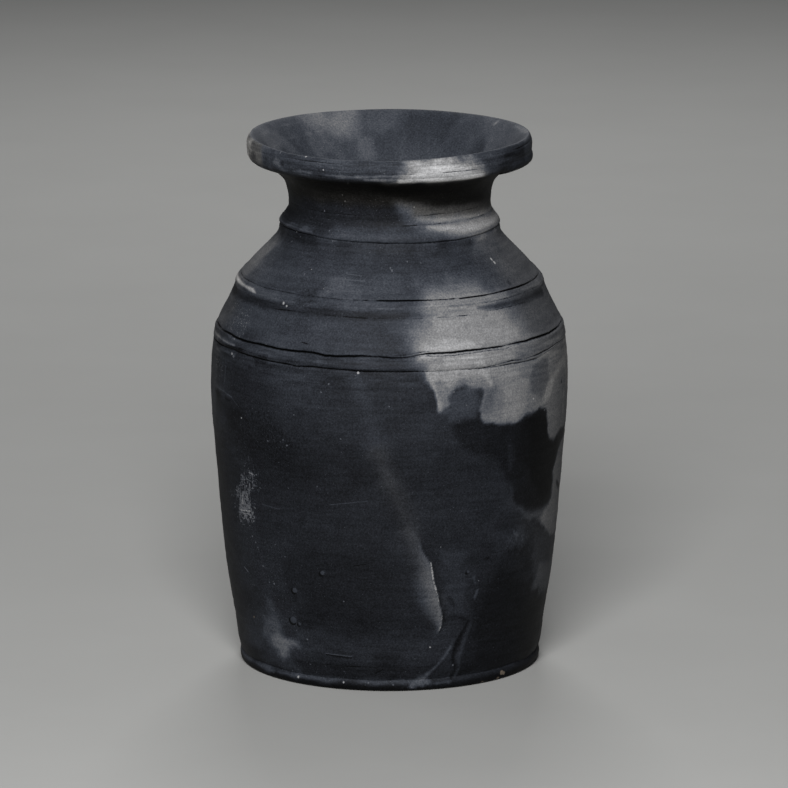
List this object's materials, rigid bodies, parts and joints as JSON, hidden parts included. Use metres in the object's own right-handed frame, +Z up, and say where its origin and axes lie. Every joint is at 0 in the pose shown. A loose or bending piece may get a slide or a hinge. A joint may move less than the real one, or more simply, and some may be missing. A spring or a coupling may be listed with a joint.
{
  "type": "clay pot",
  "caption": "Tall clay jar with a swelling belly, banded shoulder, short neck and wide flared rim; stands on a flat foot and holds stems, water or dry goods.",
  "frame": {"origin": "centre of the foot's flat underside, where the pot stands", "axes": "+Z up along the pot's axis; the side that the picture shows faces -Y, with +X to its right"},
  "size_m": [0.2344, 0.2344, 0.35],
  "materials": {
    "smoked_clay": "unglazed, smoke-blackened and burnished to a soft satin, with ash-grey fire clouds"
  },
  "bodies": {
    "root": {"base_slab": "smoked_clay", "belly_wall": "smoked_clay", "seam_band": "smoked_clay", "lower_shoulder": "smoked_clay", "upper_shoulder": "smoked_clay", "neck_and_rim": "smoked_clay"}
  },
  "joints": []
}
